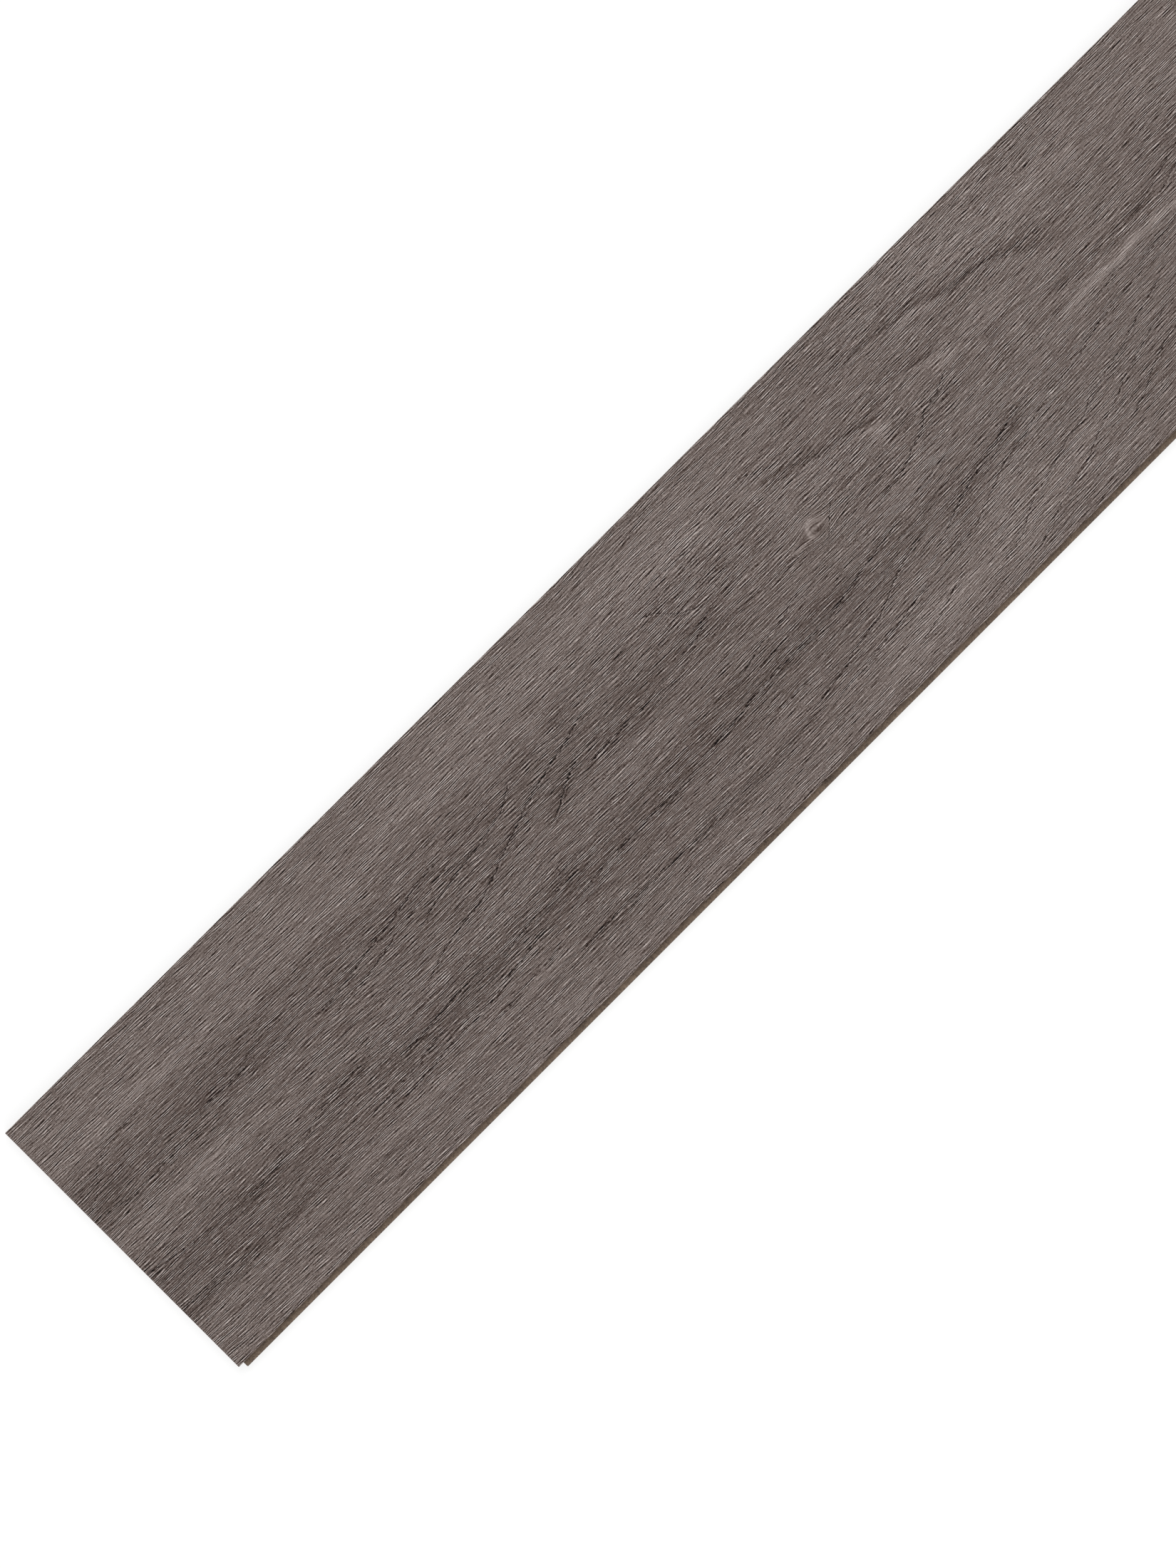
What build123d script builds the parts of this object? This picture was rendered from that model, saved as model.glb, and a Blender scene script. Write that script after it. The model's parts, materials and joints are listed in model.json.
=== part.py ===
"""Laminate floor plank with a snap-in tongue and groove on its four edges.

The plank is one pressed piece of high-density fibreboard, faced with a wood-grain decor sheet
and backed with a balancing sheet. It lies flat, decor face up. It has no bevel: each edge of the
decor face is square, so that neighbouring planks close to a tight line.

Two passes of the same cutters shape it, one along the long sides and one across the ends. Each
pass leaves a tongue on one edge and the matching groove on the edge opposite. A heel under the
tongue's nose snaps behind a ridge on the groove's lower lip and holds the joint shut. Because the
end pass cuts across everything, the ends of the long tongue and groove are cut to its section too.

Frame: origin at the middle of the underside, below the middle of the decor face.
+X runs along the length, from the grooved end to the tongued end.
+Y points to the grooved long side, and +Z up to the decor face. Millimetres.
"""

import os
from math import radians, tan

from build123d import *

# Decor face and board
face_length = 1380.0
face_width = 193.0
thickness = 8.0

# Tongue, which the groove is cut to fit
upper_lip = 2.8  # board above the tongue
tongue_thickness = 2.6  # at the heel
tongue_reach = 3.6  # past the decor edge
nose_top_radius = 0.7
nose_under_radius = 1.1  # larger, because this corner rides over the ridge
heel_length = 1.9  # from the tip of the nose back to the locking face
lock_height = 0.4  # how far the heel hooks below the ridge
lock_angle = 50.0  # of the locking face, from the horizontal

# Play between two joined planks
height_play = 0.05  # above and below the tongue
lock_play = 0.04  # between the two locking faces
dust_pocket = 0.4  # past the tip of the nose
shoulder_setback = 0.2  # below the tongue, so that the decor edges close first

# Groove details
pocket_radius = 0.5
lower_lead_in = 0.4  # chamfer on the mouth of the lower lip
upper_lead_in = 0.2  # chamfer on the mouth of the upper lip

# Heights and places that follow, with "out" measured outwards from the decor edge
tongue_top = thickness - upper_lip
heel_bottom = tongue_top - tongue_thickness
notch_roof = heel_bottom + lock_height
lock_run = lock_height / tan(radians(lock_angle))
heel_out = tongue_reach - heel_length
notch_out = heel_out - lock_run
groove_depth = tongue_reach + dust_pocket
cutter_overrun = 1.0  # how far a cut starts outside the board, and a tongue inside it


def profile(corners):
    """A face from corners given as (out, up, fillet radius)."""
    outline = FilletPolyline(
        *[(out, up) for out, up, _ in corners],
        radius=[radius for _, _, radius in corners],
        close=True,
    )
    return make_face(outline)


def tongue():
    """Section of the tongue, pointing to +out from the decor edge at 0."""
    return profile(
        [
            (-cutter_overrun, tongue_top, 0),
            (tongue_reach, tongue_top, nose_top_radius),
            (tongue_reach, heel_bottom, nose_under_radius),
            (heel_out, heel_bottom, 0),
            (notch_out, notch_roof, 0),
            (-cutter_overrun, notch_roof, 0),
        ]
    )


def shoulder_cut():
    """What is milled away under the tongue, so that only the decor edges meet."""
    return profile(
        [
            (-shoulder_setback, notch_roof, 0),
            (cutter_overrun, notch_roof, 0),
            (cutter_overrun, -cutter_overrun, 0),
            (-shoulder_setback, -cutter_overrun, 0),
        ]
    )


def groove():
    """Section of the groove, cut to +out from the mouth at 0. It follows the tongue with the play."""
    roof = tongue_top + height_play
    floor = heel_bottom - height_play
    ridge_top = notch_roof - height_play
    return profile(
        [
            (-cutter_overrun, roof + upper_lead_in + cutter_overrun, 0),
            (upper_lead_in, roof, 0),
            (groove_depth, roof, pocket_radius),
            (groove_depth, floor, pocket_radius),
            (heel_out - lock_play, floor, 0),
            (notch_out - lock_play, ridge_top, 0),
            (lower_lead_in, ridge_top, 0),
            (-cutter_overrun, ridge_top - lower_lead_in - cutter_overrun, 0),
        ]
    )


def milled_section(face_span):
    """Section of the whole board across one pass: tongue on the +out edge, groove on the other."""
    board = Pos(0, thickness / 2) * Rectangle(face_span, thickness)
    tongue_edge = Pos(face_span / 2, 0)
    groove_edge = Pos(-face_span / 2, 0)
    return board - tongue_edge * shoulder_cut() + tongue_edge * tongue() - groove_edge * groove()


def milled_board(face_span, pass_plane, pass_length):
    """The section carried along the pass, both ways from the middle of the board."""
    return extrude(pass_plane * milled_section(face_span), amount=pass_length / 2, both=True)


# Each pass runs past the board on both sides, and the other pass trims it.
long_sides = Plane(origin=(0, 0, 0), x_dir=(0, -1, 0), z_dir=(-1, 0, 0))
short_ends = Plane.XZ
long_pass = milled_board(face_width, long_sides, face_length + 4 * tongue_reach)
end_pass = milled_board(face_length, short_ends, face_width + 4 * tongue_reach)

# Where a groove crosses the end of a tongue it leaves a loose crumb of the heel, which drops off.
plank = (long_pass & end_pass).solids().sort_by(SortBy.VOLUME)[-1]
plank.label = "plank"

os.makedirs("parts", exist_ok=True)
export_step(plank, "parts/plank.step")
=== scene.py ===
import json
import math

import bmesh
import bpy
import numpy as np
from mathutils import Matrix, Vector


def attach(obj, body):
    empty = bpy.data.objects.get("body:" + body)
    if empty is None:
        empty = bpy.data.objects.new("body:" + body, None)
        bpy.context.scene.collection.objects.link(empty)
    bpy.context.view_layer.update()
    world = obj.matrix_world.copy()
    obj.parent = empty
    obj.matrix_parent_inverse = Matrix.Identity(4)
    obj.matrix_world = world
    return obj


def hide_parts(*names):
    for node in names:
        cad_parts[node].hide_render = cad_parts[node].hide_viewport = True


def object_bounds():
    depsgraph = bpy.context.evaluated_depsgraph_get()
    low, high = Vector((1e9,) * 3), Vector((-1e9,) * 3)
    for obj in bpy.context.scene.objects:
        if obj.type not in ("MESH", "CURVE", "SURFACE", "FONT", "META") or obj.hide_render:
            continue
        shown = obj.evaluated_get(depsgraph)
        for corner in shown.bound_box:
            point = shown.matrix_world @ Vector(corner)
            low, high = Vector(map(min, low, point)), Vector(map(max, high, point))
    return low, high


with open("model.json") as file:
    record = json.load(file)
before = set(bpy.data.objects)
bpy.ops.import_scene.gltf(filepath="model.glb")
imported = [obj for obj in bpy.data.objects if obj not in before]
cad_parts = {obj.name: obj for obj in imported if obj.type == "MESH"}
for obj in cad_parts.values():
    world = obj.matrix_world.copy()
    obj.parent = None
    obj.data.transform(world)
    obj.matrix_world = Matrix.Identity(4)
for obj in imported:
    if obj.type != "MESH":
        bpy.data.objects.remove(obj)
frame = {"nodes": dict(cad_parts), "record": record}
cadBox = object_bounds()

# Places on the plank are in millimetres: "along" from the near end, "across" from the grooved long side.
# Tones are steps of display brightness, of which 255 make white.

mm = 0.001
mounts = {mount["name"]: mount for mount in frame["record"]["mounts"]}
nearEnd = mounts["end_groove"]["pos_m"][0]
farEnd = mounts["end_tongue"]["pos_m"][0]
grooveSide = mounts["long_groove"]["pos_m"][1]
tongueSide = mounts["long_tongue"]["pos_m"][1]
topHeight = mounts["decor_face"]["pos_m"][2]
faceLength = (farEnd - nearEnd) / mm
faceWidth = (grooveSide - tongueSide) / mm
samePlace = 1e-6  # metres: corners nearer to each other than this are one


def displayColour(red, green, blue):  # display values of 0 to 255 as the linear colour that Blender reads
    return tuple(((c / 255 + 0.055) / 1.055) ** 2.4 for c in (red, green, blue)) + (1.0,)


# The wood figure of the decor, placed one by one
figure = {
    # Slope of the pores in degrees, down towards the tongue side as one goes along, on three rows
    "tiltRows": (30, 95, 155),
    "tiltStations": (0, 75, 130, 220, 270, 330, 380, 430, 480, 560, 620, 680, 740, 800, 900, 1100, 1380),
    "tilt": (
        (0.2, 2.6, 2.4, 0.9, 1.4, 1.0, 1.4, 1.0, -1.0, 0.4, 0.2, -0.1, -1.2, -1.0, 0.5, 1.5, -1.0),
        (0.6, 1.3, 2.6, 3.6, 1.0, 0.8, 1.3, 1.8, 0.7, 0.6, -0.5, -2.0, -0.6, -1.4, -1.0, 1.0, 0.5),
        (2.4, 1.4, 2.5, 2.3, 1.2, 0.3, -0.3, 2.0, -0.2, -0.5, -1.5, -2.5, -2.0, -3.2, -2.0, 0.0, 1.5),
    ),
    # Growth-ring lines: strength, then the points of each line
    "rings": (
        (0.5, (-6, 73), (17, 76.5), (28, 79.5), (42, 79), (56, 78), (82, 78)),
        (0.6, (91, 71), (110, 71.3), (130, 72.7)),
        (0.3, (3, 69), (15, 62), (22, 53), (36, 47), (57, 45), (75, 46)),
        (0.3, (122, 79), (136, 76), (150, 74)),
        (0.3, (128, 68.5), (146, 65.5), (158, 64)),
        (0.6, (178, 80.5), (197, 79), (212, 77), (225, 74.5), (250, 71.5), (260, 69.5), (272, 67), (290, 66)),
        (0.7, (188, 86.5), (206, 85.5), (217, 84.5), (232, 82), (243, 79), (262, 76.5),
         (274, 75.5), (292, 72)),
        (0.4, (-6, 116), (10, 119), (30, 122.5), (46, 124.5)),
        (0.6, (75, 127.3), (90, 127), (103, 126)),
        (0.4, (126, 125), (136, 121.5), (152, 119.5), (182, 118)),
        (0.5, (-6, 146.5), (16, 147.5), (28, 148.5), (50, 150.5)),
        (0.8, (260, 86), (270, 83), (291, 79.5), (304, 78), (317, 76.5), (337, 72), (345, 67.5), (351, 63.5)),
        (0.5, (322, 65), (330, 63)),
        (0.8, (239, 112), (252, 107), (262, 105), (280, 102), (292, 101), (304, 97)),
        (1.0, (300, 98), (312, 94), (320, 90.5), (330, 87), (342, 83), (352, 79.5)),
        (1.0, (350, 80), (360, 77), (370, 74.5), (380, 72), (392, 70), (400, 67.5), (412, 64.5)),
        (1.0, (355, 98), (362, 95), (370, 90.5), (378, 86), (385, 83.5), (392, 80.5)),
        (0.8, (398, 88.5), (415, 87.5), (442, 88)),
        (0.7, (161, 144), (186, 142.5), (197, 142), (210, 140.5), (221, 139)),
        (0.7, (198, 132), (220, 131), (232, 129.5), (254, 129)),
        (0.7, (180, 150.5), (193, 150), (206, 149), (222, 147.8), (240, 147.5), (254, 147)),
        (0.8, (250, 147), (262, 145.3), (270, 143.5), (283, 142.5), (291, 141), (306, 139)),
        (0.7, (282, 133), (292, 131), (302, 130.5), (311, 129)),
        (0.5, (250, 156.5), (280, 154), (304, 153)),
        (0.7, (318, 163), (340, 162), (364, 163.5), (400, 164), (419, 165)),
        (0.8, (337, 121.5), (352, 121.5)),
        (0.7, (341, 138), (374, 136), (415, 136), (430, 137)),
        (0.8, (328, 127.5), (344, 127.5)),
        (1.0, (446, 133.5), (458, 132), (480, 130.5), (490, 129), (507, 128), (523, 127.5), (541, 128)),
        (0.9, (554, 128), (565, 125), (577, 123), (590, 120.5), (605, 118.5), (613, 117.5), (622, 115)),
        (0.5, (495, 145), (522, 145)),
        (0.6, (494, 115), (503, 113), (514, 110), (535, 108.5), (541, 105.5), (552, 104.5)),
        (0.7, (506, 119.5), (520, 118.5), (534, 117)),
        (1.0, (624, 100), (640, 98), (650, 95.5), (657, 91.5), (666, 90)),
        (1.0, (662, 90.5), (670, 88), (674, 84), (678, 81), (685, 80), (691, 78.5), (697, 75.5), (703, 73)),
        (0.7, (640, 111.5), (655, 110), (666, 108)),
        (0.8, (514, 158.5), (532, 155.5), (541, 154.5), (547, 152), (556, 150),
         (574, 148), (600, 137), (626, 130)),
        (0.8, (528, 164), (548, 163), (558, 161), (572, 159.5), (608, 154)),
        (1.0, (637, 140), (652, 134), (670, 128.5), (691, 126), (697, 122.5), (705, 121), (716, 118)),
        (0.6, (626, 152), (652, 150), (691, 135), (711, 132.5), (724, 128),
         (740, 125.5), (757, 123), (773, 120.5)),
        (0.6, (582.5, 176), (602, 172), (619, 166), (626, 165)),
        (0.6, (652, 176), (665, 174), (685, 163), (706, 157.5), (724, 152), (739, 150), (756, 142)),
        (0.6, (754, 143), (774, 139), (791, 135), (804, 130), (830, 123)),
        (0.5, (665, 187), (678, 182.5), (695.5, 176), (724, 169.5), (743, 161), (761, 156.5)),
        (0.5, (759, 157), (774, 150), (804, 141), (824, 137)),
        (0.5, (761, 169.5), (776, 165), (787, 159), (804, 152), (817, 150), (850, 141)),
        (0.2, (604, 54.5), (618, 57.5), (632, 61.5), (645, 64.5)),
        (0.2, (684, 57.5), (706, 59.5)),
        (0.15, (655, 25), (675, 28.5), (700, 31.5), (720, 36), (740, 41.5), (756, 44)),
        (0.4, (748, 43), (765, 44.5), (771, 47), (780, 50), (790, 52), (800, 52.5)),
        (0.8, (476, 50), (483, 54), (487, 58), (492, 63), (497, 66), (505, 70)),
        (0.6, (495, 76), (509, 75)),
        (0.7, (478, 82), (489, 81), (498, 79)),
        (0.6, (484, 38.5), (498, 39.5), (524, 41)),
        (0.5, (574, 33), (591, 41)),
        (0.8, (586, 94), (590, 91), (593, 87.5), (596, 84.5), (601, 80.5)),
        (0.7, (776, 119), (790, 116), (800, 115.5), (806, 114)),
        (0.5, (795, 105.5), (805, 104.5), (815, 101.5)),
        (0.5, (808, 114.5), (828, 113)),
        (0.6, (830, 108.5), (845, 107), (858, 105.5)),
    ),
    "ringFade": 9,  # how far a line fades at its ends
    "ringReach": 4.0,  # how far a line is felt to each side
    "ringLeast": 0.02,  # a line fainter than this is left out
    "ringLift": 0.6,  # power of a line's strength: below 1 it brings out the faint lines
    "shadeStrength": 1.2,  # of all the streaks and spots below
    "streakFade": (10, 3),  # a streak fades at its ends over this far, and this many half widths
    # Soft streaks: tone, half width, then the points of each streak. The wide ones come first.
    "streaks": (
        (5, 18, (-40, 26), (600, 24)),
        (3.5, 90, (640, 80), (1600, 80)),
        (3, 5, (30, 38), (560, 37)),
        (3.5, 6, (540, 184), (860, 182)),
        (4, 12, (300, 22), (560, 22)),
        (-9, 15, (-40, 66), (150, 68)),
        (-6, 15, (150, 70), (360, 72)),
        (-7, 15, (360, 80), (520, 80)),
        (-8, 19, (-40, 133), (110, 134)),
        (-9, 15, (110, 134), (420, 131)),
        (-9, 12, (420, 128), (590, 124)),
        (-6, 8, (590, 124), (720, 124)),
        (-4, 9, (135, 99), (330, 97)),
        (4, 7, (-40, 184), (300, 184)),
        (4, 6, (300, 185), (545, 185)),
        (8, 14, (545, 173), (760, 164)),
        (5, 4, (-40, 39), (60, 38), (110, 42)),
        (8, 6, (-40, 95), (60, 97), (105, 98), (135, 106)),
        (9, 1.5, (46, 96.5), (84, 95.5)),
        (-5, 5, (85, 59), (148, 58)),
        (-4, 4, (80, 72), (132, 73)),
        (4, 3, (38, 63), (68, 72), (92, 74)),
        (-5, 3, (98, 29), (128, 32)),
        (3, 5, (140, 46), (250, 46)),
        (-4, 4, (158, 53), (242, 56)),
        (-5, 3, (180, 81), (212, 81)),
        (-5, 1.8, (190, 79), (225, 74.5), (260, 69.5), (290, 66)),
        (-4, 3, (256, 93), (268, 84), (284, 80)),
        (-6, 2.2, (298, 96), (320, 90), (342, 82.5), (362, 76), (382, 71.5), (404, 66)),
        (-6, 1.8, (258, 86), (290, 79.5), (318, 76), (337, 71.5), (352, 63)),
        (-15, 4.5, (362, 94), (386, 83)),
        (-8, 3, (384, 93), (402, 88), (430, 87), (446, 90)),
        (4, 5, (395, 106), (450, 105)),
        (-4, 5, (-40, 119), (40, 125), (104, 130)),
        (-9, 5, (-40, 149), (45, 153), (124, 153)),
        (-3, 5, (115, 108), (172, 120)),
        (-5, 6, (205, 134), (335, 132)),
        (-4, 4, (335, 137), (446, 137)),
        (7, 2.5, (15, 163), (170, 162), (240, 160), (305, 157)),
        (-4, 2.5, (50, 170), (245, 170)),
        (-4, 3, (182, 184), (222, 185)),
        (-9, 4, (318, 163), (350, 162), (440, 164), (512, 163)),
        (-6, 4, (426, 76), (472, 77)),
        (-6, 3.5, (480, 80), (508, 76)),
        (-5, 2.5, (498, 86), (556, 85)),
        (-4, 5, (436, 92), (478, 92)),
        (-7, 1.8, (446, 133), (480, 130.5), (541, 128), (577, 123)),
        (9, 3, (488, 38), (525, 36), (543, 44)),
        (-5, 5, (585, 46), (612, 50), (640, 57), (655, 62)),
        (-15, 2.0, (583, 46.5), (600, 49.5), (616, 54), (628, 58.5), (640, 60.5), (652, 64)),
        (9, 1.8, (603, 56), (618, 59.5), (634, 64), (645, 66.5), (654, 71)),
        (-5, 6, (598, 5), (645, 8)),
        (-5, 4.5, (700, 29), (722, 33), (742, 38), (765, 42), (785, 48), (800, 56)),
        (-13, 2.1, (654, 25), (684, 29), (700, 30.5), (718, 32.5), (728, 37), (742, 41),
         (766, 45), (788, 51.5)),
        (-10, 2.5, (778, 51), (788, 56), (798, 61), (806, 66)),
        (15, 1.9, (700, 34), (711, 36), (720, 38.5), (728, 40.5)),
        (8, 1.5, (750, 46), (760, 46.5)),
        (6, 3, (764, 52), (776, 56), (784, 62)),
        (9, 9, (728, 22), (800, 30), (850, 34)),
        (5, 8, (700, 8), (800, 10)),
        (-4, 5, (675, 50), (712, 53)),
        (-11, 2.0, (664, 49), (678, 54), (692, 57), (708, 58.5)),
        (11, 1.8, (650, 41), (657, 44.5), (666, 51.5), (674, 55), (684, 57)),
        (-9, 1.6, (660, 91), (672, 85.5), (680, 81), (690, 79), (698, 75)),
        (8, 1.6, (655, 95), (668, 91), (680, 84.5), (692, 81), (702, 76.5)),
        (-12, 1.6, (684, 126.5), (693, 125), (704, 121.5), (716, 118.5)),
        (-4, 5, (716, 48), (752, 50)),
        (-7, 5, (668, 92), (690, 83), (704, 84)),
        (-6, 5, (785, 84), (856, 87)),
        (24, 2.2, (776, 99.5), (790, 98), (802, 97), (815, 98), (830, 97.5), (842, 96.5), (885, 100)),
        (-6, 4, (738, 115), (800, 115), (830, 110), (856, 106)),
        (-7, 4, (596, 132), (612, 125), (654, 121)),
        (-10, 4, (652, 133), (680, 128), (702, 125), (722, 119)),
        (-4, 5, (556, 143), (602, 140)),
        (-5, 3, (516, 157), (562, 150)),
        (-5, 4, (625, 150), (656, 146)),
        (8, 3, (471, 44), (474, 60)),
        (-5, 3, (448, 118), (500, 117), (560, 118)),
        (6, 5, (545, 182), (590, 172), (645, 170)),
        (6, 3, (655, 184), (695, 174)),
        (6, 7, (660, 150), (705, 150)),
        (-6, 4, (726, 166), (760, 162), (790, 158), (812, 150)),
        (-5, 3, (615, 188), (660, 184), (695, 181)),
        (-3, 5, (764, 141), (800, 139), (842, 128)),
        (4, 18, (860, 24), (1460, 20)),
        (-7, 13, (860, 74), (1120, 70), (1460, 80)),
        (-7, 14, (840, 132), (1100, 128), (1460, 118)),
        (6, 12, (880, 176), (1150, 170), (1460, 166)),
        (-7, 4, (900, 62), (990, 60), (1060, 66)),
        (7, 4, (930, 98), (1060, 95), (1130, 92)),
        (-8, 4, (900, 148), (980, 140), (1060, 136)),
        (6, 4, (990, 36), (1090, 38), (1180, 36)),
        (-8, 4, (1060, 112), (1150, 108), (1230, 106)),
        (-6, 3, (1120, 48), (1190, 52), (1240, 60)),
        (8, 5, (1150, 152), (1240, 146), (1300, 144)),
        (-7, 4, (1250, 84), (1320, 78), (1460, 74)),
        (-6, 4, (1200, 180), (1290, 174), (1460, 170)),
    ),
    # Spots: tone, along, across, radius along, radius across
    "spots": (
        (-6, 22, 67, 10, 11),
        (-5, 88, 86, 12, 4),
        (-5, 160, 6, 9, 4),
        (-4, 128, 9, 12, 6),
        (5, 198, 28, 9, 5),
        (5, 310, 36, 10, 4),
        (3, 375, 10, 16, 7),
        (-4, 208, 65, 12, 4),
        (4, 270, 61, 7, 3),
        (-3, 300, 62, 12, 4),
        (-5, 362, 62, 9, 5),
        (-8, 396, 57, 8, 6),
        (9, 384, 54, 3.5, 7),
        (-4, 332, 48, 9, 4),
        (-6, 85, 127, 15, 4),
        (4, 72, 137, 26, 5),
        (4, 172, 137, 32, 6),
        (-5, 167, 120, 7, 4),
        (-6, 341, 127, 13, 5),
        (-6, 447, 55, 11, 6),
        (-8, 487, 56, 8, 6),
        (-6, 529, 59, 7, 7),
        (-10, 522, 48.5, 5, 1.3),
        (-10, 529, 52, 3, 1.5),
        (-10, 528, 61, 6, 2),
        (-10, 486, 54, 5, 2),
        (14, 496, 68.8, 4, 1.4),
        (4, 515, 80, 12, 3),
        (6, 570, 45, 11, 5),
        (7, 580, 68, 7, 14),
        (17, 650, 69.5, 5, 3),
        (9, 652, 74, 3.5, 4),
        (8, 642, 66, 3, 1.5),
        (-11, 659, 52, 5, 1.3),
        (-11, 663, 57, 5, 1.3),
        (9, 489, 61, 8, 2.4),
        (8, 500, 70, 7, 2.2),
        (8, 603, 66, 9, 2.2),
        (-7, 662, 75, 9, 5),
        (-8, 631, 87, 13, 5),
        (-5, 614, 86, 5, 4),
        (-5, 722, 64, 4, 4),
        (12, 696, 61.5, 7, 1.8),
        (16, 704, 65, 8, 2.2),
        (18, 706, 70.5, 5, 1.8),
        (8, 713, 67.5, 4, 1.5),
        (9, 722, 72, 4, 2),
        (7, 746, 66, 15, 5),
        (5, 786, 68, 7, 6),
        (-8, 736, 80, 5, 8),
        (-6, 734, 92, 5, 7),
        (4, 749, 88, 6, 8),
        (-12, 773, 94, 6, 1.6),
        (-10, 785, 85, 8, 2),
        (-14, 813, 86, 4, 1.3),
        (-7, 825, 90, 8, 1.5),
        (10, 828, 97.5, 12, 2),
        (-12, 848, 85, 10, 2.4),
        (6, 640, 106, 13, 6),
        (3, 760, 105, 20, 5),
        (-5, 608, 118, 6, 4),
        (-5, 691, 126, 9, 4),
        (-8, 510, 144, 10, 4),
        (-4, 482, 131, 16, 4),
        (5, 490, 149, 12, 6),
        (-5, 740, 138, 7, 5),
        (-5, 712, 186, 5, 4),
        (-6, 930, 60, 9, 6),
        (7, 1012, 118, 12, 5),
        (-7, 1105, 84, 10, 6),
        (6, 1190, 128, 14, 5),
        (-6, 1300, 120, 12, 6),
    ),
    # Where the pores are coarser, or calmer below 0: amount, along, across, radius along, radius across
    "coarse": (
        (0.6, 745, 18, 80, 26),
        (0.4, 505, 38, 60, 24),
        (0.5, 500, 62, 30, 14),
        (0.4, 610, 75, 60, 24),
        (0.4, 250, 118, 110, 18),
        (0.4, 690, 140, 90, 40),
        (-1.3, 583, 84.6, 12, 7),
    ),
    "coarseLimits": (-1.3, 1),  # of the sum of these
    # The small knot that the pores part round
    "knot": {
        "place": (583, 84.6),
        "size": (10, 9),  # how far it parts them along and across
        "push": 3.4,
        "core": 4.4,  # half width of its smooth middle
        "eye": (584.3, 85.2),
        "rim": (34, 5.4, 1.4),  # tone, radius and half width of the pale rim on the near side of the eye
        "rings": (10, 1.8),  # tone and spacing of the fine rings inside the rim
        "wobble": (0.4, 1.6),  # how far the rim and the rings stray from a circle, and over what distance
        # Spots: tone, along and across from the eye, radius along and across
        "spots": (
            (-18, 0.3, 0.7, 2.6, 2.3),
            (-9, -9, -2.5, 3.5, 2.4),
            (14, -1, -7, 7, 1.5),
            (14, 7.5, 0.5, 2.2, 4.0),
        ),
    },
    # Noise layers: amount, cell along and across, seed
    "poreWander": ((0.45, 50, 17, 3), (0.2, 17, 7, 4)),
    "shadePatches": ((0.2, 9, 2.6, 12),),
    "shadeAlong": ((3, 12, 3, 8),),
    "shadeAcross": ((0.6, 16, 5, 9), (0.4, 7, 2.2, 10)),
    # More ring lines for the rest of the length, past those above, drawn at random between these limits
    "rest": {
        "start": 845,
        "lines": 34,
        "across": (72, 190),
        "length": (40, 110),
        "slope": -0.27,
        "bend": (-0.05, 0.03),  # what the slope gains by the line's far end
        "strength": (0.4, 0.9),
        "seed": 11,
    },
}

relief = {
    "cellsAlong": 460,  # of the grid on the decor face
    "cellsAcross": 206,
    "rimLevel": 0.45,  # the face stays level for this far from its edges
    "rimGrowth": 1.5,  # and the relief grows to its full depth over this far
    "ringDepth": 0.05,
    "ringWidth": 1.2,  # half width of the dip along a ring line
    "texture": ((0.05, 26, 2.6, 5), (0.04, 120, 14, 6)),  # fibres and waves: depth, cells and seed
}


def softNoise(x, y, seed):  # random heights from -1 to 1 on a square lattice, joined by smooth cubic steps
    size = 256  # of the lattice, which repeats past it
    lattice = np.random.default_rng(seed).uniform(-1, 1, (size, size))
    ix = np.floor(x).astype(int)
    iy = np.floor(y).astype(int)
    fx = x - ix
    fy = y - iy
    fx = fx * fx * (3 - 2 * fx)
    fy = fy * fy * (3 - 2 * fy)
    a = lattice[ix % size, iy % size]
    b = lattice[(ix + 1) % size, iy % size]
    c = lattice[ix % size, (iy + 1) % size]
    d = lattice[(ix + 1) % size, (iy + 1) % size]
    return (a * (1 - fx) + b * fx) * (1 - fy) + (c * (1 - fx) + d * fx) * fy


def noiseSum(layers, along, across):  # the sum of amount * noise, on each layer's own cells
    total = np.zeros(along.shape)
    for amount, cellAlong, cellAcross, seed in layers:
        total += amount * softNoise(along / cellAlong, across / cellAcross, seed)
    return total


def bell(distance):  # 1 at no distance, falling smoothly like a bell
    return np.exp(-distance * distance)


def spotSum(spots, along, across):  # the sum of amount * bell along * bell across, for each spot
    total = np.zeros(along.shape)
    for amount, u, v, radiusAlong, radiusAcross in spots:
        total += amount * bell((along - u) / radiusAlong) * bell((across - v) / radiusAcross)
    return total


def endFade(along, start, end, fade):  # 1 between start and end, falling smoothly to 0 past them
    rise = np.clip((along - start) / fade + 0.5, 0, 1)
    fall = np.clip((end - along) / fade + 0.5, 0, 1)
    return rise * rise * (3 - 2 * rise) * fall * fall * (3 - 2 * fall)


def grainFlow(along, across):
    # The across place that a pore would have if it ran straight: across, less the drift of its slope
    # summed along the plank, less the push of the knot, which parts the pores round it, and a wander
    step = 4.0  # between the places where the slope is summed
    stations = np.arange(0, faceLength + 5 * step, step)
    drifts = []
    for row in figure["tilt"]:
        slope = np.tan(np.radians(np.interp(stations, figure["tiltStations"], row)))
        drifts.append(np.interp(along, stations, np.cumsum(slope) * step))
    low, middle, high = figure["tiltRows"]
    upper = np.clip((across - low) / (middle - low), 0, 1)
    lower = np.clip((across - middle) / (high - middle), 0, 1)
    drift = drifts[0] * (1 - upper) + drifts[1] * (upper - lower) + drifts[2] * lower
    knot = figure["knot"]
    fromKnot = across - knot["place"][1]
    near = bell((along - knot["place"][0]) / knot["size"][0]) * bell(fromKnot / knot["size"][1])
    push = knot["push"] * near * np.tanh(fromKnot / knot["core"])
    return across - drift - push + noiseSum(figure["poreWander"], along, across)


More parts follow.
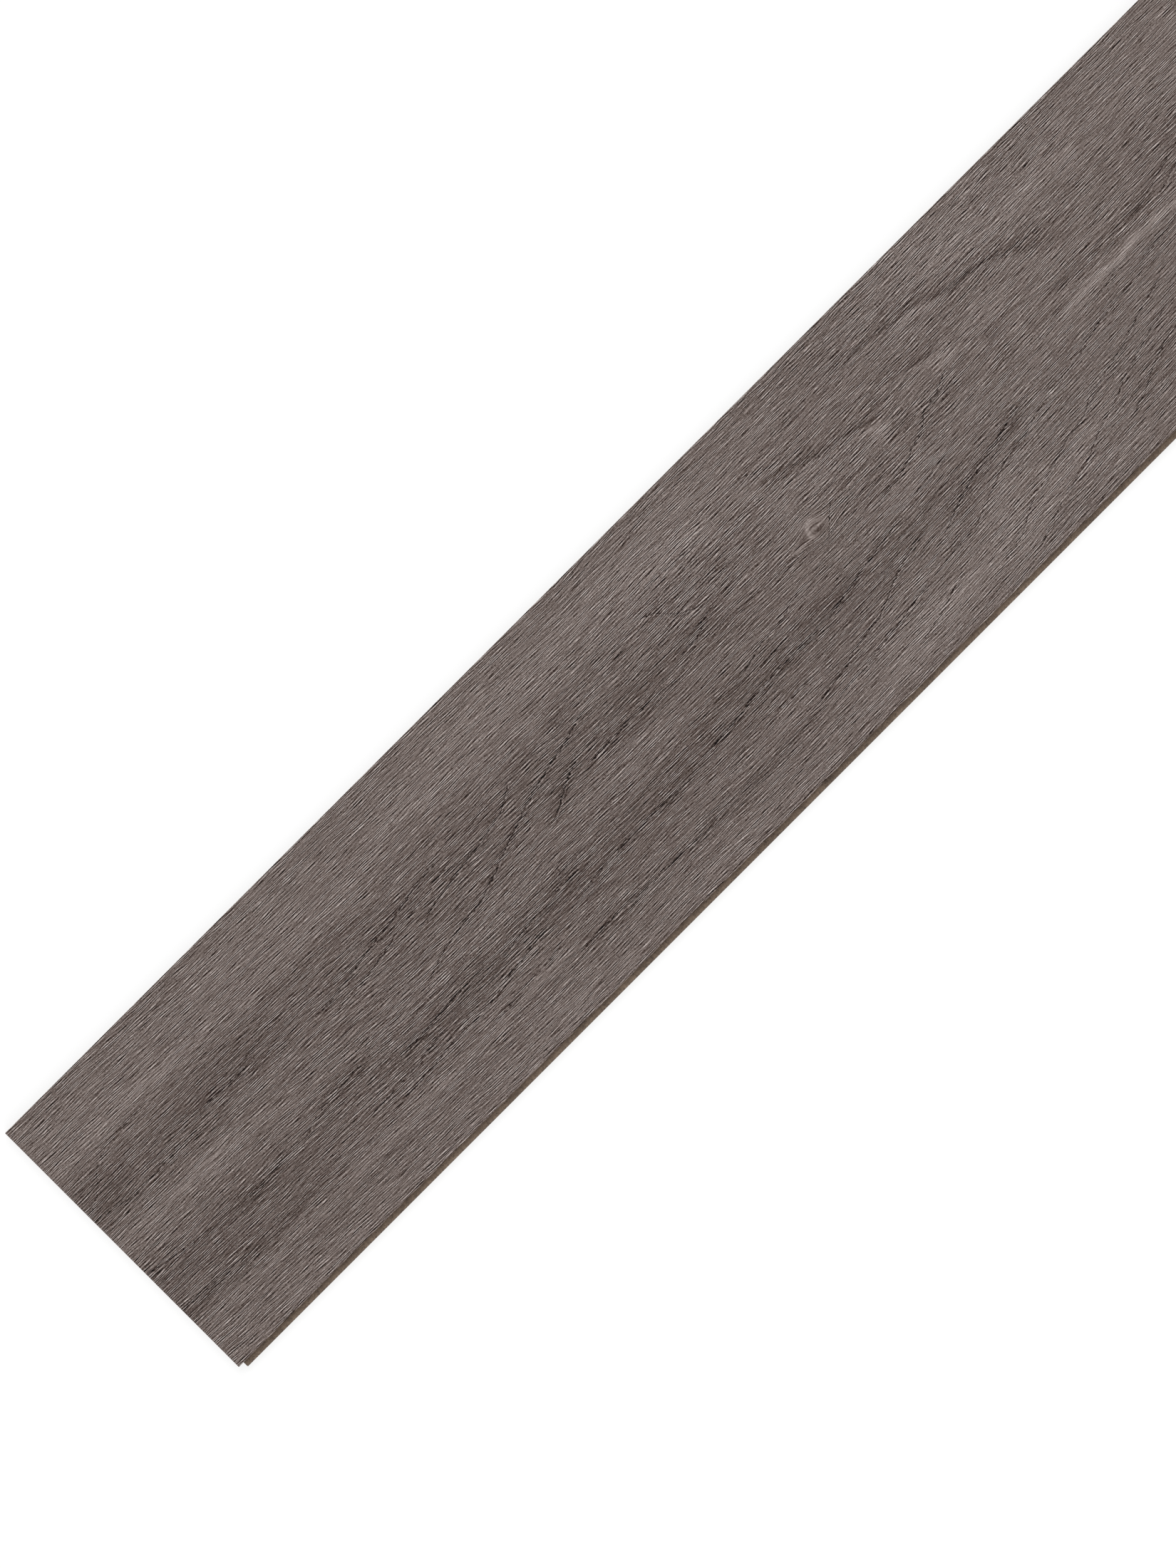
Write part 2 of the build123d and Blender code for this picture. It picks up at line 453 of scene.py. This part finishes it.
def restRings():  # strength and points of each further ring line, in the form of the ones above
    rest = figure["rest"]
    rng = np.random.default_rng(rest["seed"])
    lines = []
    for start in np.linspace(rest["start"], faceLength, rest["lines"]):
        across = rng.uniform(*rest["across"])
        length = rng.uniform(*rest["length"])
        bend = rng.uniform(*rest["bend"])
        points = []
        for t in (0, 0.5, 1):
            points.append((start + t * length, across + (rest["slope"] + bend * t) * t * length))
        lines.append((rng.uniform(*rest["strength"]), *points))
    return lines


def ringField(along, across):
    # Offset across to the nearest ring line, and that line's strength, 0 beyond its reach
    farAway = 99.0
    nearest = np.full(along.shape, farAway)
    strength = np.zeros(along.shape)
    for weight, *points in (*figure["rings"], *restRings()):
        stations, middles = zip(*points)
        offset = across - np.interp(along, stations, middles)
        shown = weight * endFade(along, stations[0], stations[-1], figure["ringFade"])
        closer = (shown > figure["ringLeast"]) & (np.abs(offset) < np.abs(nearest))
        nearest = np.where(closer, offset, nearest)
        strength = np.where(closer, shown, strength)
    reach = figure["ringReach"]
    strength = np.where(np.abs(nearest) < reach, strength ** figure["ringLift"], 0)
    return np.clip(nearest, -reach, reach), strength


def shadeField(along, across):
    # Sum of the soft streaks and the spots, in tones. Noise moves each point a little before it is
    # looked up, so that no streak has a smooth border, and thins the sum in patches.
    patch = 1 + noiseSum(figure["shadePatches"], along, across)
    movedAlong = along + noiseSum(figure["shadeAlong"], along, across)
    movedAcross = across + noiseSum(figure["shadeAcross"], along, across)
    shade = spotSum(figure["spots"], movedAlong, movedAcross)
    fade, fadeByWidth = figure["streakFade"]
    for tone, halfWidth, *points in figure["streaks"]:
        stations, middles = zip(*points)
        shown = endFade(movedAlong, stations[0], stations[-1], fade + fadeByWidth * halfWidth)
        shade += tone * shown * bell((movedAcross - np.interp(movedAlong, stations, middles)) / halfWidth)
    return figure["shadeStrength"] * shade * patch


def coarseField(along, across):
    return np.clip(spotSum(figure["coarse"], along, across), *figure["coarseLimits"])


def reliefField(along, across):
    # Height above the decor face in millimetres, which is never more than 0. The depth is a bell-shaped
    # dip along each ring line, plus noise stretched along the pores, and is 0 at the edges of the face.
    flow = grainFlow(along, across)
    offset, strength = ringField(along, across)
    depth = relief["ringDepth"] * strength * bell(offset / relief["ringWidth"])
    for fullDepth, cellAlong, cellAcross, seed in relief["texture"]:
        depth += fullDepth * (0.5 + 0.5 * softNoise(along / cellAlong, flow / cellAcross, seed))
    fromEdge = np.minimum.reduce([along, faceLength - along, across, faceWidth - across])
    return -depth * np.clip((fromEdge - relief["rimLevel"]) / relief["rimGrowth"], 0, 1)


def faceGrid():
    # A grid of points on the decor face: rows along the plank, columns across it, evenly spaced
    xs = np.linspace(nearEnd, farEnd, relief["cellsAlong"] + 1)
    ys = np.linspace(tongueSide, grooveSide, relief["cellsAcross"] + 1)
    x, y = np.meshgrid(xs, ys, indexing="ij")
    points = np.stack([x, y, np.full(x.shape, topHeight)], -1).reshape(-1, 3)
    number = np.arange(len(points)).reshape(x.shape)
    quads = np.stack([number[:-1, :-1], number[1:, :-1], number[1:, 1:], number[:-1, 1:]], -1).reshape(-1, 4)
    mesh = bpy.data.meshes.new("faceGrid")
    mesh.from_pydata(points.tolist(), [], quads.tolist())
    return mesh


def makeBoard():
    # The plank's own edges, tongue and groove, with the plain decor face swapped for the fine grid
    board = bmesh.new()
    board.from_mesh(frame["nodes"]["plank"].data)
    bmesh.ops.remove_doubles(board, verts=board.verts, dist=samePlace)
    level = topHeight - samePlace
    flat = [face for face in board.faces if all(vert.co.z > level for vert in face.verts)]
    bmesh.ops.delete(board, geom=flat, context="FACES_ONLY")
    for edge in [e for e in board.edges if not e.link_faces]:
        board.edges.remove(edge)
    rim = [e for e in board.edges if len(e.link_faces) == 1]
    alongX = [e for e in rim if abs(e.verts[0].co.x - e.verts[1].co.x) > faceWidth * mm]
    acrossY = [e for e in rim if e not in alongX]
    bmesh.ops.subdivide_edges(board, edges=alongX, cuts=relief["cellsAlong"] - 1)
    bmesh.ops.subdivide_edges(board, edges=acrossY, cuts=relief["cellsAcross"] - 1)
    grid = faceGrid()
    board.from_mesh(grid)
    bpy.data.meshes.remove(grid)
    bmesh.ops.remove_doubles(board, verts=[v for v in board.verts if v.co.z > level], dist=2 * samePlace)
    openEdges = sum(1 for e in board.edges if len(e.link_faces) != 2)
    mesh = bpy.data.meshes.new("plankBoard")
    board.to_mesh(mesh)
    board.free()
    print("board:", len(mesh.polygons), "faces,", openEdges, "open edges")
    return mesh


def dressBoard(mesh):
    # Lowers the face by the relief, and stores the figure at each point for the material
    points = np.empty(len(mesh.vertices) * 3)
    mesh.vertices.foreach_get("co", points)
    points = points.reshape(-1, 3)
    along = (points[:, 0] - nearEnd) / mm
    across = (grooveSide - points[:, 1]) / mm
    onFace = points[:, 2] > topHeight - samePlace
    points[:, 2] += np.where(onFace, reliefField(along, across) * mm, 0)
    mesh.vertices.foreach_set("co", points.ravel())
    offset, strength = ringField(along, across)
    fields = {
        "grainFlow": grainFlow(along, across),
        "ringOffset": offset,
        "ringStrength": strength,
        "shade": shadeField(along, across),
        "coarse": coarseField(along, across),
    }
    for name, values in fields.items():
        mesh.attributes.new(name, "FLOAT", "POINT").data.foreach_set("value", values.astype(np.float32))
    # Slot 0 is the decor face, 1 the sawn edges, 2 the underside
    normals = np.empty(len(mesh.polygons) * 3)
    centres = np.empty(len(mesh.polygons) * 3)
    mesh.polygons.foreach_get("normal", normals)
    mesh.polygons.foreach_get("center", centres)
    up = normals.reshape(-1, 3)[:, 2]
    height = centres.reshape(-1, 3)[:, 2]
    nearTop = topHeight - 0.5 * mm  # lower than the relief, higher than the tongue
    nearBottom = 0.1 * mm
    isFace = (up > 0.5) & (height > nearTop)
    isUnder = (up < -0.9) & (height < nearBottom)
    slots = np.where(isFace, 0, np.where(isUnder, 2, 1))
    mesh.polygons.foreach_set("material_index", slots.astype(np.int32))
    mesh.polygons.foreach_set("use_smooth", isFace)
    mesh.update()


class Wire:
    # One output socket of a shader node. Python's operators on it add Math nodes.
    def __init__(self, shading, socket):
        self.shading = shading
        self.socket = socket

    def math(self, operation, *others):
        values = dict(enumerate((self, *others)))
        return self.shading.node("ShaderNodeMath", {"operation": operation}, values)

    def __add__(self, other):
        return self.math("ADD", other)

    def __sub__(self, other):
        return self.math("SUBTRACT", other)

    def __mul__(self, other):
        return self.math("MULTIPLY", other)

    def __truediv__(self, other):
        return self.math("DIVIDE", other)

    def __rsub__(self, other):
        return self.shading.node("ShaderNodeMath", {"operation": "SUBTRACT"}, {0: other, 1: self})

    def __neg__(self):
        return self * -1

    __radd__ = __add__
    __rmul__ = __mul__

    def clamp(self):
        return self.shading.node("ShaderNodeClamp", {}, {"Value": self})

    def step(self, low, high):  # a smooth step from 0 at low to 1 at high
        settings = {"interpolation_type": "SMOOTHSTEP"}
        values = {"Value": self, "From Min": low, "From Max": high}
        return self.shading.node("ShaderNodeMapRange", settings, values)

    def peak(self, place, reach):  # 1 at the place, falling evenly to 0 at the reach on both sides
        return (1 - (self - place).math("ABSOLUTE") / reach).clamp()

    def bell(self):  # e to the power of minus its square
        return (-(self * self)).math("EXPONENT")


class Shading:
    # The nodes of a new material or world: node() adds any node, settings first, then its sockets
    # by name or number.
    def __init__(self, owner):
        self.owner = owner
        owner.use_nodes = True
        self.tree = owner.node_tree
        self.tree.nodes.clear()

    def node(self, kind, settings, values, output=0):
        node = self.tree.nodes.new(kind)
        for name, value in settings.items():
            if name == "stops":
                self.setStops(node.color_ramp, value)
            else:
                setattr(node, name, value)
        for name, value in values.items():
            if isinstance(value, Wire):
                self.tree.links.new(value.socket, node.inputs[name])
            else:
                node.inputs[name].default_value = value
        return Wire(self, node.outputs[output]) if node.outputs else node

    def setStops(self, ramp, stops):
        while len(ramp.elements) > 1:
            ramp.elements.remove(ramp.elements[-1])
        for number, (place, colour) in enumerate(stops):
            stop = ramp.elements[0] if number == 0 else ramp.elements.new(place)
            stop.position = place
            stop.color = colour

    def place(self):  # the point's place in the plank's own frame, in millimetres
        point = self.node("ShaderNodeTexCoord", {}, {}, "Object")
        return tuple(self.node("ShaderNodeSeparateXYZ", {}, {"Vector": point}, name) / mm for name in "XYZ")

    def stored(self, name):
        return self.node("ShaderNodeAttribute", {"attribute_name": name}, {}, "Fac")

    def noise(self, x, y, z=None, detail=0.0, roughness=0.5):  # about -1 to 1, and 0 on average
        settings = {"noise_dimensions": "2D" if z is None else "3D"}
        point = self.node("ShaderNodeCombineXYZ", {}, {"X": x, "Y": y, "Z": 0.0 if z is None else z})
        values = {"Vector": point, "Scale": 1.0, "Detail": detail, "Roughness": roughness}
        return (self.node("ShaderNodeTexNoise", settings, values, "Fac") - 0.5) * 2

    def mixColour(self, factor, first, second):
        values = {"Factor": factor, "A": first, "B": second}
        return self.node("ShaderNodeMix", {"data_type": "RGBA"}, values, "Result")

    def surface(self, look, colour, roughness, height):
        # A surface with a bump. Its depth, strength and shine come from the dictionary of the look.
        bump = {"Height": height, "Distance": look["bumpDepth"] * mm, "Strength": look["bumpStrength"]}
        shader = self.node("ShaderNodeBsdfPrincipled", {}, {
            "Base Color": colour,
            "Roughness": roughness,
            "Normal": self.node("ShaderNodeBump", {}, bump),
            "Specular IOR Level": look["specular"],
        })
        return self.finish(shader)

    def finish(self, shader, output="ShaderNodeOutputMaterial"):
        self.node(output, {}, {"Surface": shader})
        return self.owner


decor = {
    # Tone of the layers below, and the tone printed for it: the palest are held back
    "stops": ((18, 12), (40, 37), (65, 65), (90, 91), (115, 116), (140, 138), (170, 158), (210, 180)),
    "cast": (8.8, -2.1, -6.6),  # what the print's red, green and blue have over its tone
    "sheen": 0.007,  # linear brightness that the surface itself adds, left out of the colour
    "middle": 91,  # mean brightness of the print
    # Noise layers: tone or amount, cell along and across in millimetres, place in the noise
    "wander": (0.4, 24, 6, 0),  # how far the grain strays across
    "fineWander": (0.07, 3.2, 1.6, 0),
    "hairs": (78, 12, 0.45, 31),  # thin dark and pale lines side by side
    "longHairs": (34, 32, 0.5, 219),
    "breaks": (1.0, 3.2, 1.0, 303),  # how much each line fades and swells along itself
    "patches": (0.25, 34, 7, 71),  # how much the grain's contrast varies
    "specks": (34, 1.1, 0.42, 57),
    "pores": (9, 16, 1.7, 83),
    "veins": (5, 45, 4.0, 112),
    "clouds": (3.5, 110, 10, 147),
    "ringWander": (0.8, 4, 0.7, 0),
    "ringTwists": (50, 2.6, 0.45, 0),  # short dark and pale dashes along a ring line
    "dashes": (1, 6, 1, 0),  # where the second dark line of a ring is broken
    "hairGap": 0.46,  # from a hair's pale line to its dark one
    "coarseGrain": 0.6,  # how much the grain's contrast rises where the pores are coarser
    "ringGrain": 0.5,  # and beside a ring line
    "ringBeside": 2.0,  # how far across a ring line its surroundings are changed
    "ringBand": 9,  # how much darker they are
    "ringDark": 72,
    "ringPale": 52,
    # Parts of a ring line: place across from its middle, and half width
    "darkLine": (0, 0.5),
    "secondLine": (1.9, 0.45),
    "paleLine": (0.9, 0.5),
    "secondShare": 0.6,  # how dark the second line is, of the first
    "dashShare": 0.6,  # how much the pale line fades beside a dash of the second
    "dashEdge": 0.35,  # noise from minus this to this takes a dash from none to full
    "roughness": (0.5, 0.62),  # of the palest print and of the darkest
    "paleTone": 180,  # from which the print counts as palest
    "bumpTone": 60,  # tone of the grain that makes the full depth of the bump
    "bumpDepth": 0.05,
    "bumpStrength": 1.0,
    "specular": 0.1,
}


def printedColour(tone):  # the display colour is tone + cast in each channel, less the sheen in linear light
    linear = displayColour(*(tone + cast for cast in decor["cast"]))
    return tuple(max(value - decor["sheen"], 0.0) for value in linear[:3]) + (1.0,)


def grainLayer(m, name, along, across):  # its tone * noise on its own cells
    tone, cellAlong, cellAcross, place = decor[name]
    return tone * m.noise(along / cellAlong + place, across / cellAcross)


def hairLayer(m, name, along, across):
    # A layer, less the same layer a little further across, which lays a dark line beside each pale one
    return grainLayer(m, name, along, across) - grainLayer(m, name, along, across + decor["hairGap"])


def knotTone(m, along, across):
    # The knot is too small for the face's grid, so its tones are worked out in the shader: tone * bell
    # for the spots and for the rim, by its distance from a circle, and tone * bell * sine for the rings
    knot = figure["knot"]
    fromEye = along - knot["eye"][0]
    besideEye = across - knot["eye"][1]
    stray, cell = knot["wobble"]
    radius = (fromEye * fromEye + besideEye * besideEye).math("SQRT")
    radius = radius + stray * m.noise(along / cell, across / cell)
    rimTone, rimRadius, rimWidth = knot["rim"]
    # 1 on the side of the near end and the grooved side, falling to 0 on the other
    nearSide = (0.5 - (fromEye + besideEye) / (2 * rimRadius)).clamp()
    tone = rimTone * nearSide * ((radius - rimRadius) / rimWidth).bell()
    ringTone, spacing = knot["rings"]
    wave = (radius * (2 * math.pi / spacing)).math("SINE")
    tone = tone + ringTone * (radius / rimRadius).bell() * wave
    for spotTone, u, v, radiusAlong, radiusAcross in knot["spots"]:
        spot = ((fromEye - u) / radiusAlong).bell() * ((besideEye - v) / radiusAcross).bell()
        tone = tone + spotTone * spot
    return tone


def decorMaterial():
    m = Shading(bpy.data.materials.new("printedOakDecor"))
    x, y = m.place()[:2]
    along = x - nearEnd / mm
    across = grooveSide / mm - y
    flow = m.stored("grainFlow")
    flow = flow + grainLayer(m, "wander", along, flow) + grainLayer(m, "fineWander", along, flow)
    offset = m.stored("ringOffset") + grainLayer(m, "ringWander", along, flow)
    strength = m.stored("ringStrength")
    coarse = m.stored("coarse")

    beside = strength * offset.peak(0, decor["ringBeside"])
    dashes = grainLayer(m, "dashes", along, flow).step(-decor["dashEdge"], decor["dashEdge"])
    second = decor["secondShare"] * offset.peak(*decor["secondLine"]) * dashes
    dark = decor["ringDark"] * (offset.peak(*decor["darkLine"]) + second)
    pale = decor["ringPale"] * offset.peak(*decor["paleLine"]) * (1 - decor["dashShare"] * dashes)
    twists = grainLayer(m, "ringTwists", along, offset)
    rings = strength * (pale - dark) + beside * (twists - decor["ringBand"])

    contrast = 1 + grainLayer(m, "patches", along, flow)
    contrast = contrast + decor["ringGrain"] * beside + decor["coarseGrain"] * coarse
    hairs = hairLayer(m, "hairs", along, flow) + hairLayer(m, "longHairs", along, flow)
    hairs = hairs * (1 + grainLayer(m, "breaks", along, flow))
    fine = (hairs + grainLayer(m, "specks", along, flow)) * contrast
    fine = fine + grainLayer(m, "pores", along, flow) * (1 + coarse).clamp()
    broad = grainLayer(m, "veins", along, flow) + grainLayer(m, "clouds", along, flow)
    tone = decor["middle"] + m.stored("shade") + fine + broad + rings + knotTone(m, along, across)

    stops = [(place / 255, printedColour(printed)) for place, printed in decor["stops"]]
    colour = m.node("ShaderNodeValToRGB", {"stops": stops}, {"Fac": tone / 255}, "Color")
    smooth, rough = decor["roughness"]
    roughness = rough - (rough - smooth) * (tone / decor["paleTone"]).clamp()
    return m.surface(decor, colour, roughness, (fine + rings) / decor["bumpTone"])


core = {
    "colours": (displayColour(80, 68, 59), displayColour(126, 109, 94)),
    # Noise layers: share in the colour, cell along and across, cell up, detail, roughness of the noise
    "layers": {
        "specks": (0.95, 0.45, 0.25, 2.0, 0.7),
        "strands": (0.5, 2.2, 0.22, 1.0, 0.5),
        "blotches": (0.3, 14, 3, 0.0, 0.5),
        "chips": (-0.35, 1.1, 0.6, 0.0, 0.5),
    },
    "chipEdge": (0.28, 0.42),  # noise at which a chip starts and is full
    "decorLine": (0.25, displayColour(58, 50, 47)),  # thickness of the printed layer on the edge
    "backLine": (0.2, displayColour(168, 154, 134)),
    "lineBlur": 0.06,  # of the border of both
    "strandDepth": 0.6,  # in the bump, of the depth of the specks
    "roughness": 0.82,
    "bumpDepth": 0.07,
    "bumpStrength": 0.7,
    "specular": 0.25,
}


def coreMaterial():
    m = Shading(bpy.data.materials.new("pressedFibreCore"))
    x, y, z = m.place()
    layers = {}
    tone = 0.5
    for name, (share, cell, cellUp, detail, roughness) in core["layers"].items():
        layers[name] = m.noise(x / cell, y / cell, z / cellUp, detail, roughness)
        if name == "chips":
            layers[name] = layers[name].step(*core["chipEdge"])
        tone = tone + share * layers[name]
    colour = m.mixColour(tone.clamp(), *core["colours"])
    blur = core["lineBlur"]
    height = z + blur * layers["specks"]
    thickness, lineColour = core["decorLine"]
    decorStart = topHeight / mm - thickness
    colour = m.mixColour(height.step(decorStart - blur, decorStart), colour, lineColour)
    thickness, lineColour = core["backLine"]
    colour = m.mixColour(height.step(thickness, thickness + blur), lineColour, colour)
    depth = layers["specks"] + core["strandDepth"] * layers["strands"]
    return m.surface(core, colour, core["roughness"], depth)


backing = {
    "colours": (displayColour(158, 143, 122), displayColour(184, 169, 147)),
    # Noise layers: share in the colour, cell along and across
    "clouds": (0.35, 38, 30),
    "fibres": (0.3, 3.2, 1.4),
    "fibreSlice": 4.0,  # height at which the fibres are cut from their noise
    "detail": 2.0,
    "roughness": 0.7,
    "bumpDepth": 0.05,
    "bumpStrength": 0.4,
    "specular": 0.3,
}


def backingMaterial():
    m = Shading(bpy.data.materials.new("balancingPaper"))
    x, y = m.place()[:2]
    cloudShare, cellAlong, cellAcross = backing["clouds"]
    clouds = m.noise(x / cellAlong, y / cellAcross, detail=backing["detail"])
    fibreShare, cellAlong, cellAcross = backing["fibres"]
    fibres = m.noise(x / cellAlong, y / cellAcross, backing["fibreSlice"], backing["detail"])
    tone = (0.5 + cloudShare * clouds + fibreShare * fibres).clamp()
    return m.surface(backing, m.mixColour(tone, *backing["colours"]), backing["roughness"], fibres)


def addObject(name, data):
    newObject = bpy.data.objects.new(name, data)
    bpy.context.scene.collection.objects.link(newObject)
    return newObject


print("stage: board")
boardMesh = makeBoard()
dressBoard(boardMesh)
for material in (decorMaterial(), coreMaterial(), backingMaterial()):
    boardMesh.materials.append(material)
plankBoard = addObject("plank_board", boardMesh)
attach(plankBoard, "root")
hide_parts("plank")

studio = {
    "floorSize": 14.0,  # metres, as the gap
    "floorGap": 0.0002,  # below the plank, so that the two don't flicker
    "floorTone": 0.8,
    "floorGlow": 0.78,  # of the white that the camera sees in the floor, the rest takes the shadow
    "world": 0.51,
    # Lamps: strength, degrees from straight above, compass turn, softness in degrees
    "lamps": {"keyLamp": (1.3, 35, 150, 35), "fillLamp": (1.14, 40, -40, 50)},
}


def grey(level):
    return (level, level, level, 1)


def floorMaterial():
    # Seen by the camera or in a reflection the floor glows nearly white; to all other light it is plain
    m = Shading(bpy.data.materials.new("paleFloor"))
    byCamera = m.node("ShaderNodeLightPath", {}, {}, "Is Camera Ray")
    byGloss = m.node("ShaderNodeLightPath", {}, {}, "Is Glossy Ray")
    plain = m.node("ShaderNodeBsdfDiffuse", {}, {"Color": grey(studio["floorTone"])})
    shadowed = m.node("ShaderNodeBsdfDiffuse", {}, {"Color": grey(1 - studio["floorGlow"])})
    glow = m.node("ShaderNodeEmission", {}, {"Color": grey(1), "Strength": studio["floorGlow"]})
    bright = m.node("ShaderNodeAddShader", {}, {0: shadowed, 1: glow})
    seen = (byCamera + byGloss).clamp()
    return m.finish(m.node("ShaderNodeMixShader", {}, {"Fac": seen, 1: plain, 2: bright}))


def makeFloor():
    half = studio["floorSize"] / 2
    height = cadBox[0].z - studio["floorGap"]
    corners = [(-half, -half, height), (half, -half, height), (half, half, height), (-half, half, height)]
    mesh = bpy.data.meshes.new("paleFloor")
    mesh.from_pydata(corners, [], [(0, 1, 2, 3)])
    mesh.materials.append(floorMaterial())
    addObject("floor", mesh)


def makeLamps():
    for name, (strength, tilt, turn, softness) in studio["lamps"].items():
        lamp = bpy.data.lights.new(name, "SUN")
        lamp.energy = strength
        lamp.angle = math.radians(softness)
        addObject(name, lamp).rotation_euler = (math.radians(tilt), 0, math.radians(turn))


def makeWorld():  # even light from all round, and plain white to the camera
    w = Shading(bpy.data.worlds.new("studioWorld"))
    light = w.node("ShaderNodeBackground", {}, {"Color": grey(1), "Strength": studio["world"]})
    white = w.node("ShaderNodeBackground", {}, {"Color": grey(1), "Strength": 1.0})
    byCamera = w.node("ShaderNodeLightPath", {}, {}, "Is Camera Ray")
    both = w.node("ShaderNodeMixShader", {}, {"Fac": byCamera, 1: light, 2: white})
    bpy.context.scene.world = w.finish(both, "ShaderNodeOutputWorld")


view = {
    "image": (1650, 2200),
    "nearCorner": (7.0, 1590.0),  # pixel of the corner of the near end and the grooved side
    "widthPixels": 463.9,  # the plank's width in the photograph
    "turn": -45,  # of the picture's up direction from +Y, in degrees
    "distance": 6.0,  # metres, as the far clipping
    "clipEnd": 60.0,
    "sensor": 36.0,  # the lens is worked out for this width in millimetres
}


def makeCamera():
    # Straight down over the middle of the picture, with a lens as long as the distance asks for
    pixel = faceWidth * mm / view["widthPixels"]
    right = (view["image"][0] / 2 - view["nearCorner"][0]) * pixel
    up = (view["nearCorner"][1] - view["image"][1] / 2) * pixel
    turn = math.radians(view["turn"])
    camera = bpy.data.cameras.new("camera")
    camera.sensor_width = view["sensor"]
    camera.lens = view["sensor"] * view["distance"] / (view["image"][1] * pixel)
    camera.clip_end = view["clipEnd"]
    cameraObject = addObject("camera", camera)
    cameraObject.location = (
        nearEnd + right * math.cos(turn) - up * math.sin(turn),
        grooveSide + right * math.sin(turn) + up * math.cos(turn),
        topHeight + view["distance"],
    )
    cameraObject.rotation_euler = (0, 0, turn)
    bpy.context.scene.camera = cameraObject


print("stage: studio")
makeFloor()
makeLamps()
makeWorld()
makeCamera()
bpy.context.scene.view_settings.view_transform = "Standard"

print("stage: done")
